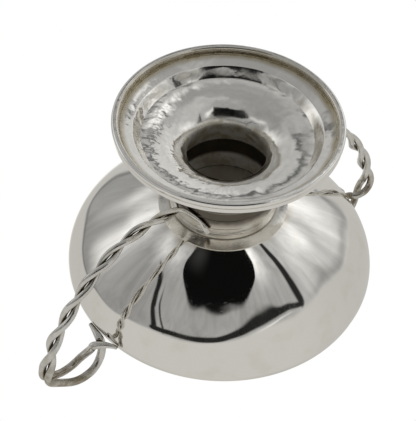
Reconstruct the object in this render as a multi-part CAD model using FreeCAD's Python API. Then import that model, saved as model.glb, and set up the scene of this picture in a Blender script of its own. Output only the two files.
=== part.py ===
"""Two-handled silver sugar bowl on a spreading foot, in millimetres.

The bowl stands on its foot: +Z is up, the origin is the centre of the foot's underside,
and the two handles lie along X. Every piece is solid silver, soldered to its neighbours.
"""
import FreeCAD, Part
import math
import os

Vector = FreeCAD.Vector

# Foot edge: a round wire that the bowl stands on, and a flat band above it.
foot_radius = 41.7
rim_wire_width = 2.6
rim_wire_height = 2.3
rim_wire_flat = 0.9
band_height = 1.9
band_inset = 0.4
band_width = 2.8
band_round = 0.4

# Foot sheet: flange, step and dome, drawn up through a bell mouth and a lip into the neck.
sheet_thickness = 1.2
flange_dish = 1.6
step_outer_radius = 34.2
step_run = 3.0
dome_height = 14.4
dome_radius = 22.0
dome_turn = 35.0
mouth_radius = 12.0
lip_radius = 3.0
lip_turn = 60.0
neck_length = 10.1
neck_flare = 3.2

# Stem collar: a turned ring between the neck and the bowl. Its bore carries on the neck's.
collar_radius = 20.4
collar_height = 14.2
collar_wall = 2.6
collar_round = 0.5
line_width = 0.6
line_depth = 0.2
line_heights = (4.0, 8.4, 11.2)

# Seat ring: a coved ring that spreads the collar onto the bowl.
seat_spread = 4.2
seat_height = 1.6
seat_edge = 0.6
seat_hollow = 0.1

# Bowl: a shallow raised shell, widest just under its plain rim.
bowl_radius = 60.0
bowl_depth = 34.0
bowl_wall = 1.2
rim_height = 3.0
rim_turn_in = 0.6
side_power = 2.0
floor_power = 1.7
outline_steps = 12

# Handles: each is two tapering wires, loosely twisted, that part round the collar at one
# end and open into an eye before they cross and spread along the bowl's wall.
wire_radius_at_stem = 0.95
wire_radius_at_rim = 1.65
wire_radius_at_tip = 0.75
tip_ball_radius = 1.2
strand_gap_at_stem = 0.34
strand_gap_at_rim = 0.5
half_twists = 7
eye_half_width = 3.6
eye_opening = 16.0
eye_to_wall = 15.0
solder_gap = 0.05
crossing_ease = 0.12
handle_below_collar_top = 9.8
handle_below_rim = 0.9
outer_strand_drop = 1.4
inner_strand_drop = 0.3
station_spacing = 2.4

# The pair were bent and twisted by hand, so they differ a little: turn, lean and first_twist
# are in degrees, and bow is how far the line swells outward from the common one.
left_handle_turn = -2.5
left_handle_lean = -1.2
left_handle_bow = 4.0
left_first_twist = 36.0
left_half_twist_length = 12.9
right_handle_turn = 2.5
right_handle_lean = 0.4
right_handle_bow = -2.4
right_first_twist = -40.0
right_half_twist_length = 14.5

# Handle line as (outward, upward) steps, first from the collar and then from the rim.
handle_from_collar = ((1.6, 0.0), (13.6, -2.2), (26.0, -1.4), (36.0, 3.8), (45.0, 11.5))
handle_from_rim = ((12.2, -23.5), (18.0, -13.5), (21.0, -3.6), (22.8, 3.4), (18.8, 7.8),
                   (14.0, 10.8), (7.6, 9.4), (3.4, 4.0))

# Spread of the wires' ends: (degrees round the axis, rise) on the collar, and (degrees
# round the axis, share of the crossing's lift) on the wall.
stem_spread = ((12.0, -0.6), (20.0, 0.3), (26.0, 2.2))
stem_ball_spread = ((29.0, 3.7), (31.5, 5.1))
rim_spread = ((2.8, 0.45), (5.2, 0.1), (7.4, 0.0))

# Heights and radii that follow from the sizes above.
edge_top = rim_wire_height + band_height
flange_under = edge_top - sheet_thickness
band_outer = foot_radius - band_inset
band_inner = band_outer - band_width
collar_bore = collar_radius - collar_wall
neck_bore = collar_bore - neck_flare
neck_base = flange_under + dome_height
collar_base = neck_base + neck_length
collar_top = collar_base + collar_height
seat_radius = collar_radius + seat_spread
seat_top = collar_top + seat_height
seat_share = 1 - (seat_radius / bowl_radius) ** floor_power
bowl_widest = seat_top + bowl_depth * seat_share ** (1 / side_power)
bowl_base = bowl_widest - bowl_depth
rim_top = bowl_widest + rim_height


def point(place):
    """A (radius, height) pair as a point in the XZ plane."""
    return Vector(place[0], 0, place[1])


def line(start, end):
    return Part.LineSegment(point(start), point(end)).toShape()


def arc(start, middle, end):
    return Part.Arc(point(start), point(middle), point(end)).toShape()


def quarter_arc(centre, radius, start_degrees, end_degrees):
    """An arc about a centre, between two directions given in degrees above the horizontal."""
    places = []
    for degrees in (start_degrees, (start_degrees + end_degrees) / 2, end_degrees):
        angle = math.radians(degrees)
        places.append((centre[0] + radius * math.cos(angle), centre[1] + radius * math.sin(angle)))
    return arc(*places)


def smooth(places, start_way, end_way):
    """A smooth edge through (radius, height) places, with the directions at its ends."""
    spline = Part.BSplineCurve()
    spline.interpolate(Points=[point(place) for place in places],
                       InitialTangent=point(start_way), FinalTangent=point(end_way))
    return spline.toShape()


def turned(edges):
    """A solid turned about the Z axis from the edges of a closed outline."""
    outline = Part.Wire(Part.__sortEdges__(edges))
    solid = Part.Face(outline).revolve(Vector(0, 0, 0), Vector(0, 0, 1), 360)
    return Part.Solid(solid) if solid.ShapeType == "Shell" else solid


def foot_rim_wire():
    """The round wire under the foot, filed flat where it stands and where the band sits."""
    outer = foot_radius
    inner = foot_radius - rim_wire_width
    middle = (outer + inner) / 2
    half_flat = rim_wire_flat / 2
    half_height = rim_wire_height / 2
    return turned([
        line((middle - half_flat, 0), (middle + half_flat, 0)),
        arc((middle + half_flat, 0), (outer, half_height), (middle + half_flat, rim_wire_height)),
        line((middle + half_flat, rim_wire_height), (middle - half_flat, rim_wire_height)),
        arc((middle - half_flat, rim_wire_height), (inner, half_height), (middle - half_flat, 0)),
    ])


def foot_band():
    """The flat band on the rim wire, with a softened outer edge."""
    rounded = band_outer - band_round
    return turned([
        line((band_inner, rim_wire_height), (band_outer, rim_wire_height)),
        line((band_outer, rim_wire_height), (band_outer, edge_top - band_round)),
        quarter_arc((rounded, edge_top - band_round), band_round, 0, 90),
        line((rounded, edge_top), (band_inner, edge_top)),
        line((band_inner, edge_top), (band_inner, rim_wire_height)),
    ])


def sheet_side(offset):
    """The foot sheet's under side, or its upper side at the sheet's thickness."""
    ridge_radius = step_outer_radius - step_run
    dome_turned = math.radians(dome_turn)
    lip_turned = math.radians(lip_turn)
    lip_centre = (neck_bore + lip_radius, neck_base)
    mouth_centre = (lip_centre[0] + (mouth_radius - lip_radius) * math.sin(lip_turned),
                    lip_centre[1] + (mouth_radius - lip_radius) * math.cos(lip_turned))
    dome_centre = (mouth_centre[0] + (dome_radius - mouth_radius) * math.sin(dome_turned),
                   mouth_centre[1] + (dome_radius - mouth_radius) * math.cos(dome_turned))
    tilt = math.asin((dome_centre[0] - ridge_radius) / dome_radius)
    ridge = (dome_centre[0] - (dome_radius - offset) * math.sin(tilt),
             dome_centre[1] - (dome_radius - offset) * math.cos(tilt))
    step_rise = dome_centre[1] - dome_radius * math.cos(tilt) - flange_under - flange_dish
    shift = offset * math.tan(math.atan2(step_rise, step_run) / 2)
    step_low = (step_outer_radius + shift, flange_under + flange_dish + offset)
    step_high = (ridge[0] + shift, ridge[1])
    neck_low = (neck_bore + offset, neck_base)
    neck_high = (collar_bore + offset, collar_base)
    return [
        line((band_inner, flange_under + offset), step_low),
        line(step_low, step_high),
    ] + ([line(step_high, ridge)] if shift > 0 else []) + [
        quarter_arc(dome_centre, dome_radius - offset, -90 - math.degrees(tilt),
                    -90 - dome_turn),
        quarter_arc(mouth_centre, mouth_radius - offset, -90 - dome_turn, -90 - lip_turn),
        quarter_arc(lip_centre, lip_radius - offset, -90 - lip_turn, -180),
        line(neck_low, neck_high),
    ]


def foot_sheet():
    """The spun foot: flange, step, dome, mouth and neck in one sheet of even thickness."""
    under = sheet_side(0)
    upper = sheet_side(sheet_thickness)
    edge = line((band_inner, flange_under), (band_inner, edge_top))
    top = line((collar_bore, collar_base), (collar_bore + sheet_thickness, collar_base))
    return turned(under + upper + [edge, top])


def stem_collar():
    """The turned collar, with fine lines cut round it, under the bowl's rounded bottom."""
    half = line_width / 2
    edges = [
        line((collar_bore, collar_base), (collar_radius - collar_round, collar_base)),
        quarter_arc((collar_radius - collar_round, collar_base + collar_round),
                    collar_round, -90, 0),
    ]
    height = collar_base + collar_round
    for line_height in line_heights:
        middle = collar_base + line_height
        start = (collar_radius, middle - half)
        end = (collar_radius, middle + half)
        edges.append(line((collar_radius, height), start))
        edges.append(arc(start, (collar_radius - line_depth, middle), end))
        height = middle + half
    edges.append(line((collar_radius, height), (collar_radius, collar_top)))
    edges.append(line((collar_radius, collar_top), (collar_bore, collar_top)))
    edges.append(line((collar_bore, collar_top), (collar_bore, collar_base)))
    return turned(edges).cut(bowl_filled())


def bowl_outline(radius, depth):
    """Places on the shell's outline, from its widest circle down to the axis."""
    places = []
    for step in range(outline_steps):
        angle = math.pi / 2 * step / outline_steps
        places.append((radius * math.cos(angle) ** (2 / floor_power),
                       bowl_widest - depth * math.sin(angle) ** (2 / side_power)))
    places.append((0.0, bowl_widest - depth))
    return places


def bowl_skin(radius, depth):
    return smooth(bowl_outline(radius, depth), (0, -1), (-1, 0))


def bowl():
    """The raised shell, with a rounded plain rim that turns in a little."""
    inner_radius = bowl_radius - bowl_wall
    half_wall = bowl_wall / 2
    round_base = rim_top - half_wall
    outer_rim = (bowl_radius - rim_turn_in, round_base)
    inner_rim = (outer_rim[0] - bowl_wall, round_base)
    inner_floor = bowl_base + bowl_wall
    return turned([
        bowl_skin(bowl_radius, bowl_depth),
        line((bowl_radius, bowl_widest), outer_rim),
        arc(outer_rim, (outer_rim[0] - half_wall, rim_top), inner_rim),
        line(inner_rim, (inner_radius, bowl_widest)),
        bowl_skin(inner_radius, bowl_depth - bowl_wall),
        line((0, inner_floor), (0, bowl_base)),
    ])


def bowl_filled():
    """The shell's outer form without its hollow, to cut what seats against it."""
    return turned([
        bowl_skin(bowl_radius, bowl_depth),
        line((bowl_radius, bowl_widest), (0, bowl_widest)),
        line((0, bowl_widest), (0, bowl_base)),
    ])


def seat_ring():
    """The coved ring between the collar and the bowl, cut to the bowl's underside."""
    blank_top = seat_top + bowl_wall
    foot_of_cove = (collar_radius, collar_top)
    top_of_cove = (seat_radius, seat_top - seat_edge)
    chord = point(top_of_cove) - point(foot_of_cove)
    bulge = Vector(-chord.z, 0, chord.x).normalize() * seat_hollow
    middle = point(foot_of_cove) + chord / 2 + bulge
    blank = turned([
        line((collar_bore, collar_top), foot_of_cove),
        arc(foot_of_cove, (middle.x, middle.z), top_of_cove),
        line(top_of_cove, (seat_radius, blank_top)),
        line((seat_radius, blank_top), (collar_bore, blank_top)),
        line((collar_bore, blank_top), (collar_bore, collar_top)),
    ])
    return blank.cut(bowl_filled())


def handle_line(bow):
    """The handle's middle line in the XZ plane, from the collar to the bowl's wall."""
    start_height = collar_top - handle_below_collar_top
    end_height = rim_top - handle_below_rim
    crossing = bowl_radius + 2 * wire_radius_at_rim + solder_gap + crossing_ease
    places = [(collar_radius + out, start_height + up) for out, up in handle_from_collar]
    places += [(bowl_radius + out, rim_top + up) for out, up in handle_from_rim]
    places.append((crossing, end_height))
    last = len(places) - 1
    bowed = []
    for index, (radius, height) in enumerate(places):
        bowed.append(point((radius + bow * math.sin(math.pi * index / last) ** 2, height)))
    spline = Part.BSplineCurve()
    spline.interpolate(bowed)
    return spline


def blend(low, high, share):
    """A value between two others, eased at both ends."""
    share = min(max(share, 0.0), 1.0)
    return low + (high - low) * share * share * (3 - 2 * share)


def on_cylinder(radius, degrees, height):
    angle = math.radians(degrees)
    return Vector(radius * math.cos(angle), radius * math.sin(angle), height)


def stem_stations(side):
    """The end of a strand that lies round the collar, from its melted ball inwards."""
    height = collar_top - handle_below_collar_top
    spread = [(degrees, rise, tip_ball_radius) for degrees, rise in stem_ball_spread]
    for degrees, rise in stem_spread:
        taper = degrees / stem_spread[-1][0]
        spread.append((degrees, rise, blend(wire_radius_at_stem, wire_radius_at_tip, taper)))
    stations = []
    for degrees, rise, radius in sorted(spread, reverse=True):
        reach = collar_radius + radius + solder_gap
        stations.append((on_cylinder(reach, side * degrees, height - side * rise), radius))
    return stations


def wall_radius(height):
    """The bowl's outer radius at a height between its widest circle and its rim."""
    return bowl_radius - rim_turn_in * max(height - bowl_widest, 0.0) / rim_height


def wall_stations(side, lean, lift, drop):
    """The end of a strand that lies along the bowl's wall, from the crossing outwards."""
    height = rim_top - handle_below_rim
    stations = []
    for degrees, lift_share in rim_spread:
        taper = degrees / rim_spread[-1][0]
        radius = blend(wire_radius_at_rim, wire_radius_at_tip, taper)
        level = height - drop * taper
        reach = wall_radius(level) + radius + solder_gap + lift * lift_share
        stations.append((on_cylinder(reach, lean + side * degrees, level), radius))
    return stations


def twist_stations(side, lean, bow, first_twist, half_twist_length):
    """Places and radii along the twist and the eye of one strand of the handle along +X."""
    middle_line = handle_line(bow)
    length = middle_line.length()
    eye_middle = length - eye_to_wall
    eye_start = eye_middle - eye_opening
    count = int(length / station_spacing)
    stations = []
    for step in range(count + 1):
        run = length * step / count
        place = middle_line.parameterAtDistance(run, middle_line.FirstParameter)
        tangent = middle_line.tangent(place)[0]
        outward = Vector(-tangent.z, 0, tangent.x)
        radius = wire_radius_at_stem + (wire_radius_at_rim - wire_radius_at_stem) * run / length
        gap = strand_gap_at_stem + (strand_gap_at_rim - strand_gap_at_stem) * run / length
        turn = min(first_twist / 180 + run / half_twist_length, half_twists)
        offset = radius + blend(solder_gap, gap, run / half_twist_length) / 2
        if run <= eye_middle:
            offset = blend(offset, eye_half_width, (run - eye_start) / eye_opening)
        else:
            rest = (run - eye_middle) / eye_to_wall
            turn = half_twists + rest / 2
            crossed = wire_radius_at_rim + solder_gap / 2 + crossing_ease
            offset = blend(eye_half_width, crossed, rest)
        angle = math.pi * turn
        swing = Vector(0, side, 0) * math.cos(angle) + outward * (side * math.sin(angle))
        leaned = blend(0.0, lean, (run - eye_start) / (length - eye_start))
        leaning = FreeCAD.Rotation(Vector(0, 0, 1), leaned)
        stations.append((leaning.multVec(middle_line.value(place) + swing * offset), radius))
    return stations


def strand_stations(side, lean, bow, first_twist, half_twist_length):
    """One whole strand: the side, 1 or -1, is the side of the collar that it lies on."""
    crossed = -side if half_twists % 2 else side
    outer = crossed > 0
    lift = 2 * wire_radius_at_rim if outer else 0.0
    drop = outer_strand_drop if outer else inner_strand_drop
    stations = stem_stations(side)
    stations += twist_stations(side, lean, bow, first_twist, half_twist_length)
    stations += wall_stations(-crossed, lean, lift, drop)
    return stations


def round_wire(stations):
    """A round wire of changing radius: one smooth skin along its stations, with flat ends."""
    middle_line = Part.BSplineCurve()
    middle_line.interpolate([place for place, radius in stations])
    corners = ((1, 0), (1, 1), (0, 1), (-1, 1), (-1, 0), (-1, -1), (0, -1), (1, -1), (1, 0))
    weights = [math.sqrt(0.5) if side and up else 1.0 for side, up in corners]
    across = Vector(0, 0, 1)
    rows = []
    for (place, radius), knot in zip(stations, middle_line.getKnots()):
        along = middle_line.tangent(knot)[0]
        across = across - along * across.dot(along)
        across.normalize()
        above = along.cross(across)
        rows.append([place + (across * side + above * up) * radius for side, up in corners])
    spans = len(rows) - 3
    skin = Part.BSplineSurface()
    skin.buildFromPolesMultsKnots(rows, [4] + [1] * (spans - 1) + [4], [3, 2, 2, 2, 3],
                                  [float(knot) for knot in range(spans + 1)],
                                  [0.0, 1.0, 2.0, 3.0, 4.0], False, False, 3, 2,
                                  [weights] * len(rows))
    side = skin.toShape()
    ends = [Part.Face(Part.Wire(edge)) for edge in side.Edges if edge.isClosed()]
    shell = Part.makeShell([side] + ends)
    shell.sewShape()
    return Part.makeSolid(shell)


def handle_wires(degrees, lean, bow, first_twist, half_twist_length):
    """Both strands of a handle, turned to its side of the bowl."""
    wires = []
    for side in (1, -1):
        wire = round_wire(strand_stations(side, lean, bow, first_twist, half_twist_length))
        wire.rotate(Vector(0, 0, 0), Vector(0, 0, 1), degrees)
        wires.append(wire)
    return wires


def save(name, shape):
    shape.exportStep(os.path.join("parts", name + ".step"))


def main():
    os.makedirs("parts", exist_ok=True)
    save("foot_rim_wire", foot_rim_wire())
    save("foot_band", foot_band())
    save("foot_sheet", foot_sheet())
    save("stem_collar", stem_collar())
    save("seat_ring", seat_ring())
    save("bowl", bowl())
    right = handle_wires(right_handle_turn, right_handle_lean, right_handle_bow,
                         right_first_twist, right_half_twist_length)
    left = handle_wires(180 + left_handle_turn, left_handle_lean, left_handle_bow,
                        left_first_twist, left_half_twist_length)
    for name, wires in (("right_handle_wire", right), ("left_handle_wire", left)):
        for letter, wire in zip("ab", wires):
            save(f"{name}_{letter}", wire)


main()
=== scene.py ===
"""Looks of the two-handled silver sugar bowl: its finished surfaces, the table and the light.

Lengths are metres in the frame's own axes: +Z is up, and the bowl stands on its foot at the
origin. The bowl is shown from below, the side on which its foot, stem and handles are seen.
"""
import math

import bmesh
import bpy
from mathutils import Matrix, Vector
from mathutils.bvhtree import BVHTree


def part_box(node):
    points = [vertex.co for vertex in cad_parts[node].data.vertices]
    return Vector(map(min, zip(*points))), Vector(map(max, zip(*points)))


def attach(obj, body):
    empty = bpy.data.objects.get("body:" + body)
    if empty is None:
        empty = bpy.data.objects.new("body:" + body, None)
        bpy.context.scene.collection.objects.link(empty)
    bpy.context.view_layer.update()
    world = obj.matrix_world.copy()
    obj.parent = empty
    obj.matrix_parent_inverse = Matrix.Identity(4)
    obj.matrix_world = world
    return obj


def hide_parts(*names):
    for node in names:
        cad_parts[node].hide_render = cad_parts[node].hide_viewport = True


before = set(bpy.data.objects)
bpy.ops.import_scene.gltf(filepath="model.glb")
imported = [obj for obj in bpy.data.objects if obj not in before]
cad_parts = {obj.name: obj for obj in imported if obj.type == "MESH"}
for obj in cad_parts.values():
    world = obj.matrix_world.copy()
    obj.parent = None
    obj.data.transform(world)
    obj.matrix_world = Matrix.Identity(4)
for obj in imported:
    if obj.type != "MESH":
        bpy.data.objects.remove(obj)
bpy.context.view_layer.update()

MM = 0.001

# Silver sheet, wires and rings. Outer sizes come from the frame; these are the rest.
RIM_WIRE_WIDTH = 2.6 * MM
RIM_WIRE_FLAT = 0.9 * MM
BAND_WIDTH = 2.8 * MM
BAND_ROUND = 0.4 * MM
SHEET = 1.2 * MM
FLANGE_DISH = 1.6 * MM
STEP_RADIUS = 34.2 * MM
STEP_RUN = 3.0 * MM
STEP_EASE = 0.12
DOME_HEIGHT = 14.4 * MM
DOME = 22.0 * MM
DOME_TURN = 35.0
MOUTH = 12.0 * MM
LIP = 3.0 * MM
LIP_TURN = 60.0
NECK_FLARE = 3.2 * MM
COLLAR_WALL = 2.6 * MM
COLLAR_ROUND = 0.5 * MM
COLLAR_LINES = (4.0 * MM, 8.4 * MM, 11.2 * MM)
LINE_WIDTH = 0.6 * MM
LINE_DEPTH = 0.2 * MM
SEAT_EDGE = 0.6 * MM
SEAT_HOLLOW = 0.1 * MM
RIM_HEIGHT = 3.0 * MM
RIM_TURN_IN = 0.6 * MM
SIDE_POWER = 2.0
FLOOR_POWER = 1.7

# How finely the pieces are made: faces round the axis, the search for where two turned
# surfaces meet, the weld of a wire's loose triangles, and the turn that counts as a corner.
TURNS = 288
MEETING_STEP = 0.02 * MM
WELD = 0.0005 * MM
CORNER = math.radians(38)

# The piece that stands in for each node, and its material slot.
PIECES = {"foot_rim_wire": ("silver_foot_rim", "silver_foot"),
          "foot_band": ("silver_foot_band", "silver_foot"),
          "foot_sheet": ("silver_foot_sheet", "silver_foot"),
          "stem_collar": ("silver_stem_collar", "silver_foot"),
          "seat_ring": ("silver_seat_ring", "silver_foot"),
          "bowl": ("silver_bowl", "silver_bowl")}
WIRES = ("right_handle_wire_a", "right_handle_wire_b",
         "left_handle_wire_a", "left_handle_wire_b")
PIECES.update({wire: ("silver_" + wire, "silver_wire") for wire in WIRES})

# Hand work on each piece: depth and size of the hammer marks, depth and size of the slower
# unevenness, and seed. A wire's seed is counted on from the first one's.
HAND_SIZES = ("Mark Depth", "Mark Size", "Sway", "Sway Size", "Seed")
HAND_WORK = {"foot_rim_wire": (0.03 * MM, 4.0 * MM, 0.03 * MM, 9.0 * MM, 1.0),
             "foot_band": (0.02 * MM, 4.0 * MM, 0.02 * MM, 9.0 * MM, 2.0),
             "foot_sheet": (0.14 * MM, 4.6 * MM, 0.16 * MM, 12.0 * MM, 3.0),
             "bowl": (0.0, 8.0 * MM, 0.04 * MM, 30.0 * MM, 4.0)}
WIRE_WORK = (0.05 * MM, 2.6 * MM, 0.06 * MM, 5.0 * MM)
FIRST_WIRE_SEED = 10.0

# The bowl's underside is shaded rounder: by this lean within the inner radius, and not at all
# at the outer one.
ROUNDER_LEAN = math.radians(18.5)
ROUNDER_INNER = 36 * MM
ROUNDER_OUTER = 60 * MM

# How far from another piece a wire is still dark with tarnish and painted shade.
CREVICE_REACH = 1.3 * MM

# Colours of the silver: clean, tarnished, and black for seams, dirt and painted shade.
CLEAN = (0.90, 0.885, 0.86, 1.0)
CLEAN_WIRE = (0.76, 0.75, 0.725, 1.0)
BOTTOM_STAIN = (0.62, 0.54, 0.40, 1.0)
BOWL_TARNISH = (0.60, 0.52, 0.40, 1.0)
FOOT_TARNISH = (0.46, 0.40, 0.27, 1.0)
WIRE_TARNISH = (0.30, 0.25, 0.17, 1.0)
FOOT_DIRT_AND_SHADE_BLACK = (0.07, 0.055, 0.04, 1.0)
WIRE_SHADE_BLACK = (0.035, 0.028, 0.022, 1.0)
SILVER_IOR = 1.45

# Hairlines, set by set: how the set is turned, the length and width of a line, and the share
# of the noise that is taken as line.
BOWL_HAIRLINES = (((0.3, 0.2, 0.5), 18.0 * MM, 0.22 * MM, 0.34),
                  ((1.2, -0.4, 1.9), 14.0 * MM, 0.18 * MM, 0.33),
                  ((-0.7, 0.9, -0.6), 20.0 * MM, 0.24 * MM, 0.34))
FOOT_HAIRLINES = (((0.1, 0.2, 0.9), 9.0 * MM, 0.16 * MM, 0.36),
                  ((0.4, -0.3, 2.4), 8.0 * MM, 0.15 * MM, 0.36))

# The camera: where it stands, and the ways of its right, its top and its back.
CAMERA_PLACE = (-0.20784, 0.22261, -0.28530)
CAMERA_RIGHT = (0.771391, 0.635083, -0.040320)
CAMERA_TOP = (0.449012, -0.588091, -0.672708)
CAMERA_BACK = (-0.450938, 0.500817, -0.738808)
CAMERA_LENS = 100.65
CAMERA_SENSOR = 36.0
CAMERA_REACH = (0.01, 10.0)

# The table and the lamp over it.
TABLE_RADIUS = 3.0
TABLE_CORNERS = 96
TABLE_PALE = (0.86, 0.86, 0.86, 1.0)
TABLE_PALER = (0.9, 0.9, 0.895, 1.0)
LAMP_PLACE = (-0.25, -0.35, 1.1)
LAMP_WIDTH = 0.9
LAMP_POWER = 9.0

# The light tent round the bowl. A bearing is in degrees round the Z axis, 0 at the tent's
# front and positive to its left. A rise is in degrees above the level, where up is the way
# that the foot faces, -Z. A level is a share of plain white.
TENT_FRONT = (-0.6824, 0.7310, 0.0)
TENT_LEFT = (-0.7310, -0.6824, 0.0)
TENT_UP = (0.0, 0.0, -1.0)

# Heights that follow the bearing, as (bearing, rise): where the tent's own table ends, and the
# fold in the cloth along the front.
TABLE_EDGE = ((-180, -27), (-145, -15), (-128, -4), (-110, 6), (-89, 17), (-60, 25), (-37, 29),
              (-10, 26), (20, 21), (42, 18), (57, 13), (72, 5), (88, 1), (102, -4), (125, -9),
              (146, -20), (180, -27))
FRONT_FOLD = ((-180, 20), (-90, 20), (-70, 24), (-58, 28), (-37, 32), (-20, 31), (-3, 27),
              (12, 25), (26, 24), (42, 21), (70, 16), (180, 16))

# Patches of lamp light, as (bearing, rise, reach round, reach up, level added): on the front
# and side walls, on the back wall, on the table, and faintly in the hole.
WALL_PATCHES = ((-52.0, 50.0, 15.0, 20.0, 0.75),
                (-104.0, 26.0, 32.0, 15.0, 0.35),
                (-140.0, 4.0, 40.0, 18.0, 0.50),
                (58.0, 46.0, 17.0, 13.0, 0.30),
                (78.0, 39.0, 24.0, 11.0, 0.38),
                (113.0, 20.0, 30.0, 19.0, 0.60),
                (106.0, 10.0, 18.0, 12.0, 0.38),
                (137.0, 2.0, 18.0, 11.0, 0.42),
                (-108.0, 19.0, 15.0, 11.0, 0.34))
BACK_PATCH = (-160.0, 50.0, 22.0, 8.0, 0.8)
TABLE_PATCH = (158.0, -46.0, 26.0, 16.0, 0.6)
SMOKE_PATCH = (34.0, 56.0, 22.0, 14.0, 0.03)

# Levels of the tent's parts, and how dark its folds and its hole are.
FRONT_WALL = 0.37
RIGHT_WALL = FRONT_WALL + 0.13
LEFT_WALL = FRONT_WALL - 0.06
BACK_WALL = 0.62
BACK_WALL_LEFT = BACK_WALL - 0.12
BACK_WALL_HIGH = 0.42
BACK_WALL_TOP_LOSS = 0.09
TENT_TABLE = 0.60
TENT_TABLE_BACK_LOSS = 0.05
CREASE_DARK = 0.9
FOLD_DARK = 0.95
EDGE_DARK = 0.4
GLINT_LEVEL = 0.35
HOLE_LEVEL = 0.004

# The cloth's soft unevenness, in parts of the way from the bowl to the cloth.
CLOTH_SIZE = 1 / 3.2
STREAK_SIZE = 1 / 2.2
STREAK_STRETCH = (5.0, 5.0, 1.4)

# The front fold's breadth, narrower to the right, and the bearing or rise of the lines that
# lead on from it: a seam up from each of its ends, and a brow from the top of the left one.
FOLD_BREADTH = 3.4
FOLD_BREADTH_LOSS = 2.2
RIGHT_SEAM = -71.0
LEFT_SEAM = 42.0
BROW_RISE = 30.5

# The hole in the tent: its middle, its half breadth, and its lower and upper edges. The lower
# edge, its sill, bends up steeply towards its ends and dips a little half way to them.
HOLE_BEARING = -2.2
HOLE_REACH = 48.6
HOLE_SILL = 37.45
SILL_BEND = 11.0
SILL_BEND_REACH = 48.3
SILL_BEND_POWER = 9.0
SILL_DIP = 1.0
SILL_DIP_PLACE = 25.0
SILL_DIP_REACH = 15.0
HOLE_TOP = 65.0

# Tints of the light that the walls and the table throw, and the plain white behind the bowl.
WALL_TINT = (1.0, 1.0, 0.975, 1.0)
TABLE_TINT = (1.0, 0.985, 0.93, 1.0)
WHITE = (1.0, 1.0, 1.0, 1.0)


# ---------------------------------------------------------------- shader and tree maths

class Value:
    """A number on a node tree. Arithmetic with it adds Math nodes."""

    def __init__(self, tree, socket):
        self.tree = tree
        self.socket = socket

    def maths(self, operation, *values):
        """The result of a Math node with these values."""
        return self.tree.node("ShaderNodeMath", {"operation": operation}, dict(enumerate(values)))

    def __add__(self, other):
        return self.maths("ADD", self, other)

    def __sub__(self, other):
        return self.maths("SUBTRACT", self, other)

    def __mul__(self, other):
        return self.maths("MULTIPLY", self, other)

    def __truediv__(self, other):
        return self.maths("DIVIDE", self, other)

    def __pow__(self, other):
        return self.maths("POWER", self, other)

    def __radd__(self, other):
        return self.maths("ADD", other, self)

    def __rsub__(self, other):
        return self.maths("SUBTRACT", other, self)

    def __rmul__(self, other):
        return self.maths("MULTIPLY", other, self)

    def __rtruediv__(self, other):
        return self.maths("DIVIDE", other, self)

    def __abs__(self):
        return self.maths("ABSOLUTE", self)

    def lower(self, other):
        return self.maths("MINIMUM", self, other)

    def higher(self, other):
        return self.maths("MAXIMUM", self, other)

    def towards(self, other, share):
        """This value where share is 0, and the other where it is 1."""
        return self + (other - self) * share

    def rise(self, start, end):
        """0 below start and 1 above end, eased between them; start may be the greater."""
        if start > end:
            return 1.0 - self.rise(end, start)
        return self.tree.node("ShaderNodeMapRange", {"interpolation_type": "SMOOTHSTEP"},
                              {"Value": self, "From Min": start, "From Max": end})

    def near(self, middle, reach):
        """1 where the value is at middle, falling to 0 at reach from it."""
        return abs(self - middle).rise(reach, 0.0)


class Tree:
    """A node tree that nodes are added to, in shaders and in Geometry Nodes alike."""

    def __init__(self, tree):
        self.tree = tree

    def node(self, kind, settings, values, out=0):
        """Adds a node: its settings first, then the values or links of its sockets.

        Gives the socket named or numbered by out, and nothing for a node that ends a tree.
        """
        made = self.tree.nodes.new(kind)
        for name, setting in settings.items():
            if name == "curve":
                self.set_curve(made.mapping, setting)
            else:
                setattr(made, name, setting)
        for name, value in values.items():
            if isinstance(value, Value):
                self.tree.links.new(value.socket, made.inputs[name])
            else:
                made.inputs[name].default_value = value
        return Value(self, made.outputs[out]) if made.outputs else None

    @staticmethod
    def set_curve(mapping, places):
        """Lays a curve node's one curve through (from, to) places."""
        curve = mapping.curves[0]
        while len(curve.points) < len(places):
            curve.points.new(1.0, 1.0)
        for spot, place in zip(curve.points, places):
            spot.location = place
        mapping.update()

    def vector(self, operation, *values, out=0):
        """The result of a Vector Math node with these values."""
        return self.node("ShaderNodeVectorMath", {"operation": operation},
                         dict(enumerate(values)), out)

    def dot(self, first, second):
        return self.vector("DOT_PRODUCT", first, second, out="Value")

    def scaled(self, vector, amount):
        return self.node("ShaderNodeVectorMath", {"operation": "SCALE"},
                         {0: vector, "Scale": amount})

    def mix(self, share, first, second):
        """A blend of two colours."""
        return self.node("ShaderNodeMix", {"data_type": "RGBA"},
                         {0: share, 6: first, 7: second}, out=2)

    def noise(self, place, size, detail=2.0, roughness=0.5, distortion=0.0):
        """Soft noise from 0 to 1, with lumps of about a size in the place's own unit."""
        return self.node("ShaderNodeTexNoise", {"noise_dimensions": "3D"},
                         {"Vector": place, "Scale": 1.0 / size, "Detail": detail,
                          "Roughness": roughness, "Distortion": distortion})

    def seeded_noise(self, place, scale, seed, detail, roughness=0.5):
        """Soft noise from 0 to 1 that another seed makes anew."""
        return self.node("ShaderNodeTexNoise", {"noise_dimensions": "4D"},
                         {"Vector": place, "W": seed, "Scale": scale, "Detail": detail,
                          "Roughness": roughness})


# ---------------------------------------------------------------- outlines of turned pieces

def run(start, end, count):
    """Places along a straight stretch of an outline, without its end."""
    return [(start[0] + (end[0] - start[0]) * step / count,
             start[1] + (end[1] - start[1]) * step / count) for step in range(count)]


def sweep(centre, radius, start, end, count):
    """Places along an arc, without its end, between two directions in degrees."""
    places = []
    for step in range(count):
        angle = math.radians(start + (end - start) * step / count)
        places.append((centre[0] + radius * math.cos(angle),
                       centre[1] + radius * math.sin(angle)))
    return places


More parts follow.
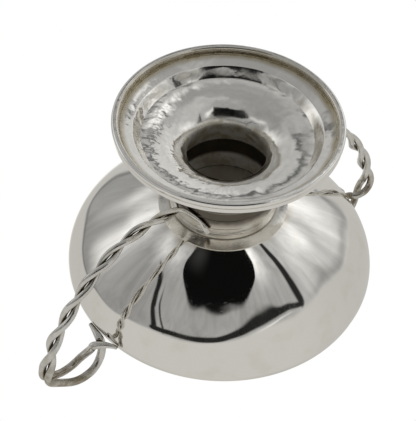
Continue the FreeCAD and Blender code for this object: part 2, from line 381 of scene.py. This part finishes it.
def turned(name, outline, material, side=None):
    """A piece turned about the Z axis from the (radius, height) places of its outline.

    A place on the axis becomes a single point. side holds 1 or -1 for each place, for the two
    faces of a sheet, and is kept on the mesh.
    """
    mesh = bpy.data.meshes.new(name)
    shape = bmesh.new()
    face_side = shape.verts.layers.float.new("side")
    rings = []
    for index, (radius, height) in enumerate(outline):
        if radius < 1e-7:
            ring = [shape.verts.new((0.0, 0.0, height))]
        else:
            ring = []
            for turn in range(TURNS):
                angle = 2 * math.pi * turn / TURNS
                ring.append(shape.verts.new((radius * math.cos(angle),
                                             radius * math.sin(angle), height)))
        for corner in ring:
            corner[face_side] = side[index] if side else 1.0
        rings.append(ring)
    for index, ring in enumerate(rings):
        other = rings[(index + 1) % len(rings)]
        if len(ring) == 1 and len(other) == 1:
            continue
        for turn in range(TURNS):
            onward = (turn + 1) % TURNS
            if len(ring) == 1:
                shape.faces.new((ring[0], other[turn], other[onward]))
            elif len(other) == 1:
                shape.faces.new((ring[onward], ring[turn], other[0]))
            else:
                shape.faces.new((ring[onward], ring[turn], other[turn], other[onward]))
    bmesh.ops.recalc_face_normals(shape, faces=shape.faces)
    shape.to_mesh(mesh)
    shape.free()
    return placed(name, mesh, material)


def placed(name, mesh, material):
    """An object at the origin for a mesh, shaded smooth up to its sharp corners."""
    piece = bpy.data.objects.new(name, mesh)
    bpy.context.scene.collection.objects.link(piece)
    mesh.polygons.foreach_set("use_smooth", [True] * len(mesh.polygons))
    mesh.set_sharp_from_angle(angle=CORNER)
    mesh.materials.clear()
    mesh.materials.append(material)
    return piece


def foot_rim_outline(low, high):
    """The round wire that the bowl stands on, filed flat below and above."""
    middle = (high.x - RIM_WIRE_WIDTH / 2, (low.z + high.z) / 2)
    half_flat = RIM_WIRE_FLAT / 2
    half_height = (high.z - low.z) / 2
    bulge = RIM_WIRE_WIDTH / 2 - half_flat
    radius = (half_height ** 2 + bulge ** 2) / (2 * bulge)
    spread = math.degrees(math.asin(half_height / radius))
    reach = bulge + half_flat - radius
    outer = sweep((middle[0] + reach, middle[1]), radius, -spread, spread, 18)
    inner = sweep((middle[0] - reach, middle[1]), radius, 180 - spread, 180 + spread, 18)
    return (outer + run((middle[0] + half_flat, high.z), (middle[0] - half_flat, high.z), 4)
            + inner + run((middle[0] - half_flat, low.z), (middle[0] + half_flat, low.z), 4))


def band_outline(low, high):
    """The flat band above the rim wire, with a softened outer edge."""
    inner = high.x - BAND_WIDTH
    rounded = (high.x - BAND_ROUND, high.z - BAND_ROUND)
    return (run((inner, low.z), (high.x, low.z), 6)
            + run((high.x, low.z), (high.x, rounded[1]), 4)
            + sweep(rounded, BAND_ROUND, 0, 90, 8)
            + run((rounded[0], high.z), (inner, high.z), 5)
            + run((inner, high.z), (inner, low.z), 6))


def rounded_step(low, high, count=16):
    """The step of the foot sheet, with both its bends eased by hand."""
    places = []
    for step in range(count):
        share = step / count
        eased = share * share * (3 - 2 * share)
        climb = (1 - STEP_EASE) * share + STEP_EASE * eased
        places.append((low[0] + (high[0] - low[0]) * share,
                       low[1] + (high[1] - low[1]) * climb))
    return places


def sheet_face(low, high, outer, bore, offset):
    """One face of the foot sheet, from its edge up to the neck: 0 below, SHEET above."""
    neck_bore = bore - NECK_FLARE
    neck_base = low.z + DOME_HEIGHT
    dome_turned, lip_turned = math.radians(DOME_TURN), math.radians(LIP_TURN)
    lip = (neck_bore + LIP, neck_base)
    mouth = (lip[0] + (MOUTH - LIP) * math.sin(lip_turned),
             lip[1] + (MOUTH - LIP) * math.cos(lip_turned))
    dome = (mouth[0] + (DOME - MOUTH) * math.sin(dome_turned),
            mouth[1] + (DOME - MOUTH) * math.cos(dome_turned))
    tilt = math.asin((dome[0] - (STEP_RADIUS - STEP_RUN)) / DOME)
    ridge = (dome[0] - (DOME - offset) * math.sin(tilt),
             dome[1] - (DOME - offset) * math.cos(tilt))
    step_rise = dome[1] - DOME * math.cos(tilt) - low.z - FLANGE_DISH
    shift = offset * math.tan(math.atan2(step_rise, STEP_RUN) / 2)
    step_low = (STEP_RADIUS + shift, low.z + FLANGE_DISH + offset)
    step_high = (ridge[0] + shift, ridge[1])
    return (run((outer, low.z + offset), step_low, 16)
            + rounded_step(step_low, step_high)
            + sweep(dome, DOME - offset, -90 - math.degrees(tilt), -90 - DOME_TURN, 26)
            + sweep(mouth, MOUTH - offset, -90 - DOME_TURN, -90 - LIP_TURN, 14)
            + sweep(lip, LIP - offset, -90 - LIP_TURN, -180, 12)
            + run((neck_bore + offset, neck_base), (bore + offset, high.z), 26)
            + [(bore + offset, high.z)])


def collar_outline(low, high, bowl_skin, line_steps=8):
    """The turned collar with its fine cut lines, ending against the bowl's bottom."""
    bore = high.x - COLLAR_WALL
    top = bowl_skin(bore)
    meet = bore
    while bowl_skin(meet) < high.z:
        meet += MEETING_STEP
    outline = run((bore, low.z), (high.x - COLLAR_ROUND, low.z), 6)
    outline += sweep((high.x - COLLAR_ROUND, low.z + COLLAR_ROUND), COLLAR_ROUND, -90, 0, 8)
    height = low.z + COLLAR_ROUND
    half = LINE_WIDTH / 2
    for line in COLLAR_LINES:
        middle = low.z + line
        outline += run((high.x, height), (high.x, middle - half), 6)
        for step in range(line_steps):
            share = 2 * step / line_steps - 1
            outline.append((high.x - LINE_DEPTH * (1 - share * share), middle + half * share))
        height = middle + half
    outline += run((high.x, height), (high.x, high.z), 6)
    outline += run((high.x, high.z), (meet, high.z), 4)
    outline += run((meet, high.z), (bore, top), 3)
    outline += run((bore, top), (bore, low.z), 24)
    return outline


def seat_outline(high, collar_high, bowl_skin, cove_steps=12, skin_steps=14):
    """The coved ring between the collar and the bowl."""
    meet = collar_high.x
    while bowl_skin(meet) > collar_high.z:
        meet -= MEETING_STEP
    edge = (high.x, high.z - SEAT_EDGE)
    outline = run((meet, collar_high.z), (collar_high.x, collar_high.z), 4)
    for step in range(cove_steps):
        share = step / cove_steps
        hollow = 4 * SEAT_HOLLOW * share * (1 - share)
        outline.append((collar_high.x + (edge[0] - collar_high.x) * share,
                        collar_high.z + (edge[1] - collar_high.z) * share + hollow))
    outline += run(edge, (high.x, bowl_skin(high.x)), 3)
    for step in range(skin_steps):
        radius = high.x + (meet - high.x) * step / skin_steps
        outline.append((radius, bowl_skin(radius)))
    return outline


def shell_half(widest, radius, depth, count):
    """Places up one face of the bowl, from the axis to its widest circle."""
    places = []
    for step in range(count + 1):
        angle = math.pi / 2 * (1 - step / count)
        across = 0.0 if step == 0 else math.cos(angle) ** (2 / FLOOR_POWER)
        places.append((radius * across, widest - depth * math.sin(angle) ** (2 / SIDE_POWER)))
    return places


def bowl_outline(low, high):
    """The raised shell: up its outer face, over the rounded rim and down its inner face."""
    widest = high.z - RIM_HEIGHT
    depth = widest - low.z
    inner = high.x - SHEET
    half_wall = SHEET / 2
    rim = (high.x - RIM_TURN_IN - half_wall, high.z - half_wall)
    return (shell_half(widest, high.x, depth, 150)[:-1]
            + run((high.x, widest), (rim[0] + half_wall, rim[1]), 8)
            + sweep(rim, half_wall, 0, 180, 14)
            + run((rim[0] - half_wall, rim[1]), (inner, widest), 8)
            + shell_half(widest, inner, depth - SHEET, 110)[::-1])


# ---------------------------------------------------------------- hand-worked surfaces

def hand_worked_tree():
    """Geometry Nodes that leave soft hammer marks and a slight unevenness on a piece."""
    group = bpy.data.node_groups.new("hand_worked", "GeometryNodeTree")
    group.is_modifier = True
    face = group.interface
    face.new_socket("Piece", in_out="INPUT", socket_type="NodeSocketGeometry")
    for name in HAND_SIZES:
        face.new_socket(name, in_out="INPUT", socket_type="NodeSocketFloat")
    face.new_socket("Finish", in_out="INPUT", socket_type="NodeSocketMaterial")
    face.new_socket("Piece", in_out="OUTPUT", socket_type="NodeSocketGeometry")
    tree = Tree(group)
    piece, mark_depth, mark_size, sway, sway_size, seed, finish = (
        tree.node("NodeGroupInput", {}, {}, out=name) for name in ("Piece", *HAND_SIZES, "Finish"))
    place = tree.node("GeometryNodeInputPosition", {}, {})
    normal = tree.node("GeometryNodeInputNormal", {}, {})
    side = tree.node("GeometryNodeInputNamedAttribute", {"data_type": "FLOAT"}, {"Name": "side"})
    marks = tree.node("ShaderNodeTexVoronoi",
                      {"voronoi_dimensions": "4D", "feature": "SMOOTH_F1"},
                      {"Vector": place, "W": seed, "Scale": 1.0 / mark_size,
                       "Smoothness": 0.35, "Randomness": 1.0})
    depth = tree.seeded_noise(place, 0.35 / mark_size, seed + 5.0, 1.0).rise(0.38, 0.66)
    lumps = tree.seeded_noise(place, 1.0 / sway_size, seed + 9.0, 2.0, 0.45)
    lift = mark_depth * depth * (marks ** 2.0 * 2.0 - 1.0) + sway * (lumps - 0.5) * 2.0
    moved = tree.node("GeometryNodeSetPosition", {},
                      {"Geometry": piece, "Offset": tree.scaled(normal, lift * side)})
    whole = tree.node("GeometryNodeRealizeInstances", {}, {"Geometry": moved})
    finished = tree.node("GeometryNodeSetMaterial", {}, {"Geometry": whole, "Material": finish})
    tree.node("NodeGroupOutput", {}, {"Piece": finished})
    return group


def hand_worked(piece, group, sizes):
    """Works a piece over by hand, and leaves the result as a plain mesh."""
    worker = piece.modifiers.new("worked", "NODES")
    worker.node_group = group
    given = dict(zip(HAND_SIZES, sizes), Finish=piece.data.materials[0])
    for socket in group.interface.items_tree:
        if socket.in_out == "INPUT" and socket.name in given:
            worker[socket.identifier] = given[socket.name]
    bpy.context.view_layer.update()
    seen = piece.evaluated_get(bpy.context.evaluated_depsgraph_get())
    mesh = bpy.data.meshes.new_from_object(seen)
    piece.modifiers.remove(worker)
    old = piece.data
    mesh.name = old.name
    piece.data = mesh
    bpy.data.meshes.remove(old)


def welded_copy(name, node, material):
    """A copy of a wire's mesh with its loose triangles joined, to be worked over."""
    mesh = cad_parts[node].data.copy()
    mesh.name = name
    shape = bmesh.new()
    shape.from_mesh(mesh)
    bmesh.ops.remove_doubles(shape, verts=shape.verts, dist=WELD)
    face_side = shape.verts.layers.float.new("side")
    for corner in shape.verts:
        corner[face_side] = 1.0
    shape.to_mesh(mesh)
    shape.free()
    if "custom_normal" in mesh.attributes:
        mesh.attributes.remove(mesh.attributes["custom_normal"])
    return placed(name, mesh, material)


def shade_rounder(piece, inner, outer, lean):
    """Leans the shading of a shell's underside outwards, most of all within the inner radius.

    Its polish then throws the light as a rounder form would. The mesh keeps its shape.
    """
    mesh = piece.data
    normals = []
    for corner, normal in zip(mesh.vertices, mesh.vertex_normals):
        way = Vector(normal.vector)
        radius = corner.co.xy.length
        share = min(max((outer - radius) / (outer - inner), 0.0), 1.0)
        if way.z < 0 and share > 0 and radius > 0:
            angle = lean * share * share * (3 - 2 * share)
            axis = Vector((-corner.co.y, corner.co.x, 0.0)).normalized()
            way = Matrix.Rotation(-angle, 3, axis) @ way
        normals.append(way)
    mesh.normals_split_custom_set_from_vertices(normals)


def mark_crevices(piece, others, reach):
    """Keeps on the mesh how near each point lies to the other pieces: 1 touching, 0 far."""
    trees = []
    for other in others:
        corners = [corner.co for corner in other.data.vertices]
        faces = [tuple(face.vertices) for face in other.data.polygons]
        trees.append(BVHTree.FromPolygons(corners, faces))
    values = []
    for corner in piece.data.vertices:
        found = [tree.find_nearest(corner.co, reach)[3] for tree in trees]
        values.append(max([1.0 - gap / reach for gap in found if gap is not None] + [0.0]))
    nearness = piece.data.attributes.new("crevice", "FLOAT", "POINT")
    nearness.data.foreach_set("value", values)


# ---------------------------------------------------------------- finishes

def new_finish(name):
    """A new material, and its tree with nothing in it."""
    material = bpy.data.materials.new(name)
    material.use_nodes = True
    material.node_tree.nodes.clear()
    return material, Tree(material.node_tree)


def end_in_silver(tree, colour, metallic, roughness, relief):
    """Ends a finish in its one shader. relief is in metres."""
    normal = tree.node("ShaderNodeBump", {}, {"Strength": 1.0, "Distance": 1.0, "Height": relief})
    shader = tree.node("ShaderNodeBsdfPrincipled", {}, {
        "Base Color": colour, "Metallic": metallic, "Roughness": roughness, "IOR": SILVER_IOR,
        "Normal": normal})
    tree.node("ShaderNodeOutputMaterial", {}, {"Surface": shader})


def place_parts(tree):
    """The place on the object, its distance from the Z axis and its height, in metres."""
    place = tree.node("ShaderNodeTexCoord", {}, {}, out="Object")
    along_x = tree.dot(place, (1.0, 0.0, 0.0))
    along_y = tree.dot(place, (0.0, 1.0, 0.0))
    height = tree.dot(place, (0.0, 0.0, 1.0))
    radius = (along_x * along_x + along_y * along_y) ** 0.5
    return place, radius, height


def scratches(tree, place, hairlines):
    """Fine straight hairlines, each set in one direction: 1 on a line, 0 between them."""
    sets = []
    for turn, length, width, share in hairlines:
        stretched = tree.node("ShaderNodeMapping", {"vector_type": "TEXTURE"}, {
            "Vector": place, "Rotation": turn, "Scale": (length, width, width)})
        sets.append(tree.noise(stretched, 1.0, 1.0, 0.5, 0.15).rise(1.0 - share, 1.0))
    lines = sets[0]
    for more in sets[1:]:
        lines = lines.higher(more)
    return lines


def silver_bowl_finish():
    """Polished silver: nearly a mirror, with faint planishing, hairlines and a little haze."""
    material, tree = new_finish("polished_silver")
    place, radius, height = place_parts(tree)
    haze = tree.noise(place, 22.0 * MM, 4.0, 0.6)
    blotches = tree.noise(place, 9.0 * MM, 3.0, 0.55)
    waves = tree.noise(place, 11.0 * MM, 1.0, 0.4)
    hairlines = scratches(tree, place, BOWL_HAIRLINES)

    # Where the seat ring lies, the closed bottom inside the stem, and the rim.
    seat = radius.rise(27.5 * MM, 24.5 * MM) * height.rise(50.0 * MM, 46.0 * MM)
    bottom = radius.rise(19.0 * MM, 17.8 * MM) * height.rise(44.5 * MM, 42.5 * MM)
    rim = height.rise(72.5 * MM, 76.2 * MM)

    tarnish = (0.16 * blotches.rise(0.45, 0.8) + 0.55 * seat * blotches.rise(0.25, 0.75)
               + 0.2 * rim).lower(1.0)
    base = tree.mix(bottom * haze.rise(0.35, 0.7), CLEAN, BOTTOM_STAIN)
    end_in_silver(
        tree,
        colour=tree.mix(tarnish, base, BOWL_TARNISH),
        metallic=1.0 - 0.8 * bottom,
        roughness=(0.022 + 0.035 * haze.rise(0.45, 0.75) + 0.10 * hairlines + 0.12 * tarnish
                   + 0.35 * bottom),
        relief=waves * (0.05 * MM) - hairlines * (0.0012 * MM))
    return material


def silver_foot_finish():
    """Hammered and polished silver, warm with tarnish in its recesses."""
    material, tree = new_finish("hammered_silver")
    place, radius, height = place_parts(tree)
    cloud = tree.noise(place, 6.0 * MM, 4.0, 0.6)
    specks = tree.noise(place, 1.6 * MM, 3.0, 0.6)
    hairlines = scratches(tree, place, FOOT_HAIRLINES)
    dirt = cloud.rise(0.3, 0.7)

    # Recesses of the foot sheet: inside its edge, under its step and round its neck.
    edge = radius.near(38.4 * MM, 2.2 * MM) * height.rise(5.2 * MM, 3.6 * MM)
    step = radius.near(32.6 * MM, 2.2 * MM) * height.rise(9.5 * MM, 8.5 * MM)
    neck = radius.rise(18.6 * MM, 16.6 * MM) * height.rise(11.0 * MM, 15.0 * MM)

    # Inside the stem: the pale throat, a band of painted shade in it, and the collar's paler top.
    inside = radius.rise(19.2 * MM, 18.6 * MM)
    throat = height.rise(13.5 * MM, 18.5 * MM) * inside
    painted_shade = (height.rise(26.2 * MM, 28.0 * MM) * height.rise(35.2 * MM, 33.0 * MM)
            * inside)
    collar_top = inside * height.rise(33.0 * MM, 35.2 * MM)

    # The solder seams below and above the collar, and painted shade on the collar's lower half.
    seams = height.near(27.2 * MM, 0.6 * MM).higher(height.near(41.4 * MM, 0.6 * MM))
    outside = radius.rise(19.4 * MM, 20.1 * MM) * height.rise(26.8 * MM, 28.2 * MM)
    shadowed = outside * (height + (cloud - 0.5) * (4.0 * MM)).rise(36.5 * MM, 32.0 * MM)
    seat_ring = height.rise(41.4 * MM, 42.4 * MM)

    # The left of the dome, which is hammered the most roughly.
    leftward = tree.dot(place, TENT_LEFT) + 0.5 * tree.dot(place, TENT_FRONT)
    rough_side = ((0.08 + 0.92 * leftward.rise(4.0 * MM, 24.0 * MM))
                  * height.rise(16.5 * MM, 11.0 * MM)
                  * radius.rise(17.5 * MM, 20.0 * MM) * radius.rise(37.5 * MM, 35.0 * MM))

    tarnish = (0.10 * cloud.rise(0.5, 0.8) + 0.95 * edge * (0.65 + 0.35 * dirt)
               + 0.35 * step * dirt + 0.35 * neck * dirt + 0.5 * cloud.rise(0.42, 0.62) * throat
               + outside * (0.6 + 0.4 * dirt) * (0.46 - 0.28 * seat_ring)).lower(1.0)
    # Black: the solder seams, dirt specks, and painted shade in the throat and on the collar.
    black = (0.75 * seams + 0.97 * painted_shade + 0.9 * shadowed
             + 0.12 * specks.rise(0.68, 0.8)).lower(1.0)
    end_in_silver(
        tree,
        colour=tree.mix(black, tree.mix(tarnish, CLEAN, FOOT_TARNISH), FOOT_DIRT_AND_SHADE_BLACK),
        metallic=1.0 - (0.6 * throat + 0.3 * collar_top) * (1.0 - painted_shade),
        roughness=(0.09 + 0.10 * cloud.rise(0.35, 0.75) + 0.10 * hairlines + 0.18 * tarnish
                   + 0.26 * throat),
        relief=(tree.noise(place, 3.0 * MM, 2.0, 0.5) * (0.06 * MM)
                + tree.noise(place, 2.5 * MM, 1.0, 0.4) * (0.19 * MM) * rough_side
                - hairlines * (0.0015 * MM)))
    return material


def silver_wire_finish():
    """Soft drawn silver, dull from handling and dark where the wires lie together."""
    material, tree = new_finish("drawn_silver_wire")
    place, radius, height = place_parts(tree)
    cloud = tree.noise(place, 4.0 * MM, 4.0, 0.6)
    pits = tree.noise(place, 1.1 * MM, 3.0, 0.6)
    crevice = tree.node("ShaderNodeAttribute", {"attribute_name": "crevice"}, {}, out="Fac")
    # Painted shade: nearly black where the wire lies close to another piece.
    painted_shade = (crevice * (0.65 + 0.7 * cloud)).rise(0.38, 0.85)
    eye = radius.rise(66.0 * MM, 70.0 * MM) * height.rise(70.0 * MM, 78.0 * MM)
    tarnish = (0.30 * cloud.rise(0.38, 0.72) + 0.6 * eye * (0.5 + 0.5 * cloud.rise(0.35, 0.6))
               + 0.8 * crevice.rise(0.1, 0.6)).lower(1.0)
    end_in_silver(
        tree,
        colour=tree.mix(0.9 * painted_shade, tree.mix(tarnish, CLEAN_WIRE, WIRE_TARNISH), WIRE_SHADE_BLACK),
        metallic=1.0,
        roughness=(0.15 + 0.12 * cloud.rise(0.35, 0.75) + 0.08 * pits.rise(0.5, 0.8)
                   + 0.2 * tarnish),
        relief=tree.noise(place, 2.4 * MM, 1.0, 0.4) * (0.05 * MM))
    return material


# ---------------------------------------------------------------- table, tent and camera

def table_finish():
    """A plain pale table. It is clear from below, to the silver and to the lamp's shadow rays."""
    material, tree = new_finish("pale_table")
    glossy, shadow = (tree.node("ShaderNodeLightPath", {}, {}, out=name)
                      for name in ("Is Glossy Ray", "Is Shadow Ray"))
    under = tree.node("ShaderNodeNewGeometry", {}, {}, out="Backfacing")
    place = tree.node("ShaderNodeTexCoord", {}, {}, out="Object")
    matt = tree.node("ShaderNodeBsdfDiffuse", {}, {
        "Color": tree.mix(tree.noise(place, 30.0 * MM, 3.0), TABLE_PALE, TABLE_PALER)})
    clear = tree.node("ShaderNodeBsdfTransparent", {}, {})
    shown = tree.node("ShaderNodeMixShader", {},
                      {0: under.higher(glossy).higher(shadow), 1: matt, 2: clear})
    tree.node("ShaderNodeOutputMaterial", {}, {"Surface": shown})
    return material


def follow(tree, bearing, places):
    """A rise that follows the bearing through a few (bearing, rise) places."""
    lowest, span = -60.0, 150.0
    spots = [((turn + 180) / 360, (rise - lowest) / span) for turn, rise in places]
    share = tree.node("ShaderNodeFloatCurve", {"curve": spots},
                      {"Factor": 1.0, "Value": (bearing + 180.0) / 360.0})
    return share * span + lowest


def patch(bearing, rise, spot):
    """The light of one soft patch."""
    turn, height, reach_round, reach_up, level = spot
    return level * bearing.near(turn, reach_round) * rise.near(height, reach_up)


def tent_walls(tree, way, bearing, rise):
    """The cloth walls: front, right and left, and the one behind, with their lamp light."""
    wall = (FRONT_WALL + (RIGHT_WALL - FRONT_WALL) * bearing.rise(-60.0, -85.0)
            - (FRONT_WALL - LEFT_WALL) * bearing.rise(45.0, 62.0))
    back = BACK_WALL - (BACK_WALL - BACK_WALL_LEFT) * bearing.rise(100.0, 140.0)
    back = back.towards(BACK_WALL_HIGH, rise.rise(36.0, 44.0))
    back = back - BACK_WALL_TOP_LOSS * rise.rise(50.0, 60.0) + patch(bearing, rise, BACK_PATCH)
    crease = rise.near(39.5, 4.6) * abs(bearing).rise(138.0, 150.0)
    behind = abs(bearing).rise(118.0, 142.0) * rise.rise(4.0, 12.0)
    wall = wall.towards(back * (1.0 - CREASE_DARK * crease), behind)
    for spot in WALL_PATCHES:
        wall = wall + patch(bearing, rise, spot)
    cloth = tree.noise(way, CLOTH_SIZE, 3.0, 0.55)
    streaks = tree.noise(tree.vector("MULTIPLY", way, STREAK_STRETCH), STREAK_SIZE, 4.0, 0.6, 0.6)
    return wall * (0.42 + 0.46 * cloth + 0.70 * streaks)


def fold_lines(bearing, rise, fold, breadth, table_edge):
    """How dark the cloth is along its folds: 1 in the middle of one, 0 away from them."""
    front = bearing.rise(-73.0, -69.0) * bearing.rise(47.0, 42.0)
    front_fold = ((rise - fold) / breadth).near(0.0, 1.0) * front

    # A seam goes up from each end of the front fold. The left one leans, has a fainter line
    # beside it, and a brow that runs on from its top.
    right_seam = ((bearing + (rise - 24.0) * 0.2).near(RIGHT_SEAM, 5.0)
                  * rise.rise(22.0, 24.0) * rise.rise(62.0, 40.0))
    lean = bearing - LEFT_SEAM - ((rise - 20.0) * 0.11) ** 2.0 * 7.0
    left_seam = (lean.near(0.0, 4.4).higher(0.7 * lean.near(-7.5, 2.4))
                 * rise.rise(18.0, 21.0) * rise.rise(35.0, 31.0))
    brow = ((rise - (bearing - 50.0) * 0.2).near(BROW_RISE, 1.7)
            * bearing.rise(46.0, 50.0) * bearing.rise(72.0, 62.0))
    edge = (rise - table_edge).near(0.5, 1.6) * abs(bearing).rise(70.0, 92.0)
    dark = (front_fold.rise(0.05, 0.6).higher(right_seam.rise(0.1, 0.75))
            .higher(left_seam.higher(brow).rise(0.1, 0.8)).higher(EDGE_DARK * edge))

    # Just below the front fold, a glint where the cloth turns to the lamp.
    glint = (((rise - fold + breadth * 1.25) / breadth).near(0.0, 0.35) * front
             * bearing.near(-48.0, 22.0))
    return dark, glint


def tent_hole(bearing, rise):
    """1 in the dark hole that the bowl is seen through, 0 outside it."""
    across = abs(bearing - HOLE_BEARING)
    bend = (across / SILL_BEND_REACH) ** SILL_BEND_POWER * SILL_BEND
    sill = HOLE_SILL + bend - SILL_DIP * across.near(SILL_DIP_PLACE, SILL_DIP_REACH)
    return ((HOLE_REACH - across).rise(-0.8, 1.6) * (rise - sill).rise(-0.4, 0.4)
            * rise.rise(HOLE_TOP + 3.0, HOLE_TOP))


def light_tent():
    """The soft light tent: its table, cloth walls and folds, and the dark hole at its top.

    Only the camera sees plain white; everything else sees the tent.
    """
    world = bpy.data.worlds.new("light_tent")
    world.use_nodes = True
    world.node_tree.nodes.clear()
    tree = Tree(world.node_tree)
    way = tree.node("ShaderNodeTexCoord", {}, {}, out="Generated")
    front, left, up = (tree.dot(way, axis) for axis in (TENT_FRONT, TENT_LEFT, TENT_UP))
    bearing = left.maths("ARCTAN2", left, front) * math.degrees(1)
    rise = up.maths("ARCSINE", up) * math.degrees(1)

    table_edge = follow(tree, bearing, TABLE_EDGE)
    on_table = (table_edge - rise).rise(-1.5, 2.0)
    table = (TENT_TABLE - TENT_TABLE_BACK_LOSS * abs(bearing).rise(50.0, 110.0)
             + patch(bearing, rise, TABLE_PATCH))
    light = tent_walls(tree, way, bearing, rise).towards(table, on_table)

    fold = follow(tree, bearing, FRONT_FOLD)
    breadth = FOLD_BREADTH - FOLD_BREADTH_LOSS * bearing.rise(-28.0, -60.0)
    dark, glint = fold_lines(bearing, rise, fold, breadth, table_edge)
    light = light * (1.0 - FOLD_DARK * dark) + GLINT_LEVEL * glint

    smoke = HOLE_LEVEL + patch(bearing, rise, SMOKE_PATCH)
    light = light.towards(smoke, tent_hole(bearing, rise))

    tint = tree.scaled(tree.mix(on_table, WALL_TINT, TABLE_TINT), light)
    plain = tree.node("ShaderNodeLightPath", {}, {}, out="Is Camera Ray")
    sky = tree.node("ShaderNodeBackground", {},
                    {"Color": tree.mix(plain, tint, WHITE), "Strength": 1.0})
    tree.node("ShaderNodeOutputWorld", {}, {"Surface": sky})
    bpy.context.scene.world = world


def add_camera():
    """The camera, below the bowl and looking up at its foot."""
    lens = bpy.data.cameras.new("camera")
    lens.lens = CAMERA_LENS
    lens.sensor_width = CAMERA_SENSOR
    lens.clip_start, lens.clip_end = CAMERA_REACH
    camera = bpy.data.objects.new("camera", lens)
    bpy.context.scene.collection.objects.link(camera)
    turn = Matrix((CAMERA_RIGHT, CAMERA_TOP, CAMERA_BACK)).transposed()
    camera.matrix_world = Matrix.Translation(CAMERA_PLACE) @ turn.to_4x4()
    bpy.context.scene.camera = camera


def add_table():
    """The table under the bowl: a wide round top."""
    mesh = bpy.data.meshes.new("table")
    shape = bmesh.new()
    bmesh.ops.create_circle(shape, cap_ends=True, segments=TABLE_CORNERS, radius=TABLE_RADIUS)
    shape.to_mesh(mesh)
    shape.free()
    table = bpy.data.objects.new("table", mesh)
    bpy.context.scene.collection.objects.link(table)
    mesh.materials.append(table_finish())


def add_lamp():
    """A broad soft lamp overhead, which gives the bowl its shadow on the table."""
    lamp = bpy.data.lights.new("soft_lamp", "AREA")
    lamp.shape = "DISK"
    lamp.size = LAMP_WIDTH
    lamp.energy = LAMP_POWER
    holder = bpy.data.objects.new("soft_lamp", lamp)
    bpy.context.scene.collection.objects.link(holder)
    facing = Vector(LAMP_PLACE).to_track_quat("Z", "Y").to_matrix().to_4x4()
    holder.matrix_world = Matrix.Translation(LAMP_PLACE) @ facing
    holder.visible_glossy = False
    holder.visible_camera = False


# ---------------------------------------------------------------- the bowl's pieces

def turned_pieces():
    """The six turned pieces, by the node that each stands in for."""
    foot_finish = silver_foot_finish()
    wire_low, wire_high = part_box("foot_rim_wire")
    band_low, band_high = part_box("foot_band")
    sheet_low, sheet_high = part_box("foot_sheet")
    collar_low, collar_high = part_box("stem_collar")
    seat_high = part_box("seat_ring")[1]
    bowl_low, bowl_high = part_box("bowl")
    widest = bowl_high.z - RIM_HEIGHT

    def bowl_skin(radius):
        """Height of the bowl's outer face at a radius."""
        share = 1 - (radius / bowl_high.x) ** FLOOR_POWER
        return widest - (widest - bowl_low.z) * share ** (1 / SIDE_POWER)

    bore = collar_high.x - COLLAR_WALL
    under = sheet_face(sheet_low, sheet_high, sheet_high.x, bore, 0.0)
    upper = sheet_face(sheet_low, sheet_high, sheet_high.x, bore, SHEET)
    outlines = {"foot_rim_wire": foot_rim_outline(wire_low, wire_high),
                "foot_band": band_outline(band_low, band_high),
                "foot_sheet": under + upper[::-1],
                "stem_collar": collar_outline(collar_low, collar_high, bowl_skin),
                "seat_ring": seat_outline(seat_high, collar_high, bowl_skin),
                "bowl": bowl_outline(bowl_low, bowl_high)}
    finishes = {"bowl": silver_bowl_finish()}
    sides = {"foot_sheet": [1.0] * len(under) + [-1.0] * len(upper)}
    return {node: turned(PIECES[node][0], outline, finishes.get(node, foot_finish),
                         sides.get(node))
            for node, outline in outlines.items()}


def main():
    """Makes the pieces, sets them in their nodes' places, and then the table and the light."""
    worked = hand_worked_tree()
    pieces = turned_pieces()
    for node, sizes in HAND_WORK.items():
        hand_worked(pieces[node], worked, sizes)
    shade_rounder(pieces["bowl"], ROUNDER_INNER, ROUNDER_OUTER, ROUNDER_LEAN)

    wire_finish = silver_wire_finish()
    wires = {node: welded_copy(PIECES[node][0], node, wire_finish) for node in WIRES}
    for number, wire in enumerate(wires.values()):
        hand_worked(wire, worked, (*WIRE_WORK, FIRST_WIRE_SEED + number))
    for wire in wires.values():
        others = [other for other in wires.values() if other is not wire]
        mark_crevices(wire, others + [pieces["stem_collar"], pieces["bowl"]], CREVICE_REACH)

    pieces.update(wires)
    for node, piece in pieces.items():
        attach(piece, "root")
        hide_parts(node)

    add_table()
    add_lamp()
    light_tent()
    add_camera()
    bpy.context.scene.view_settings.view_transform = "Standard"


main()
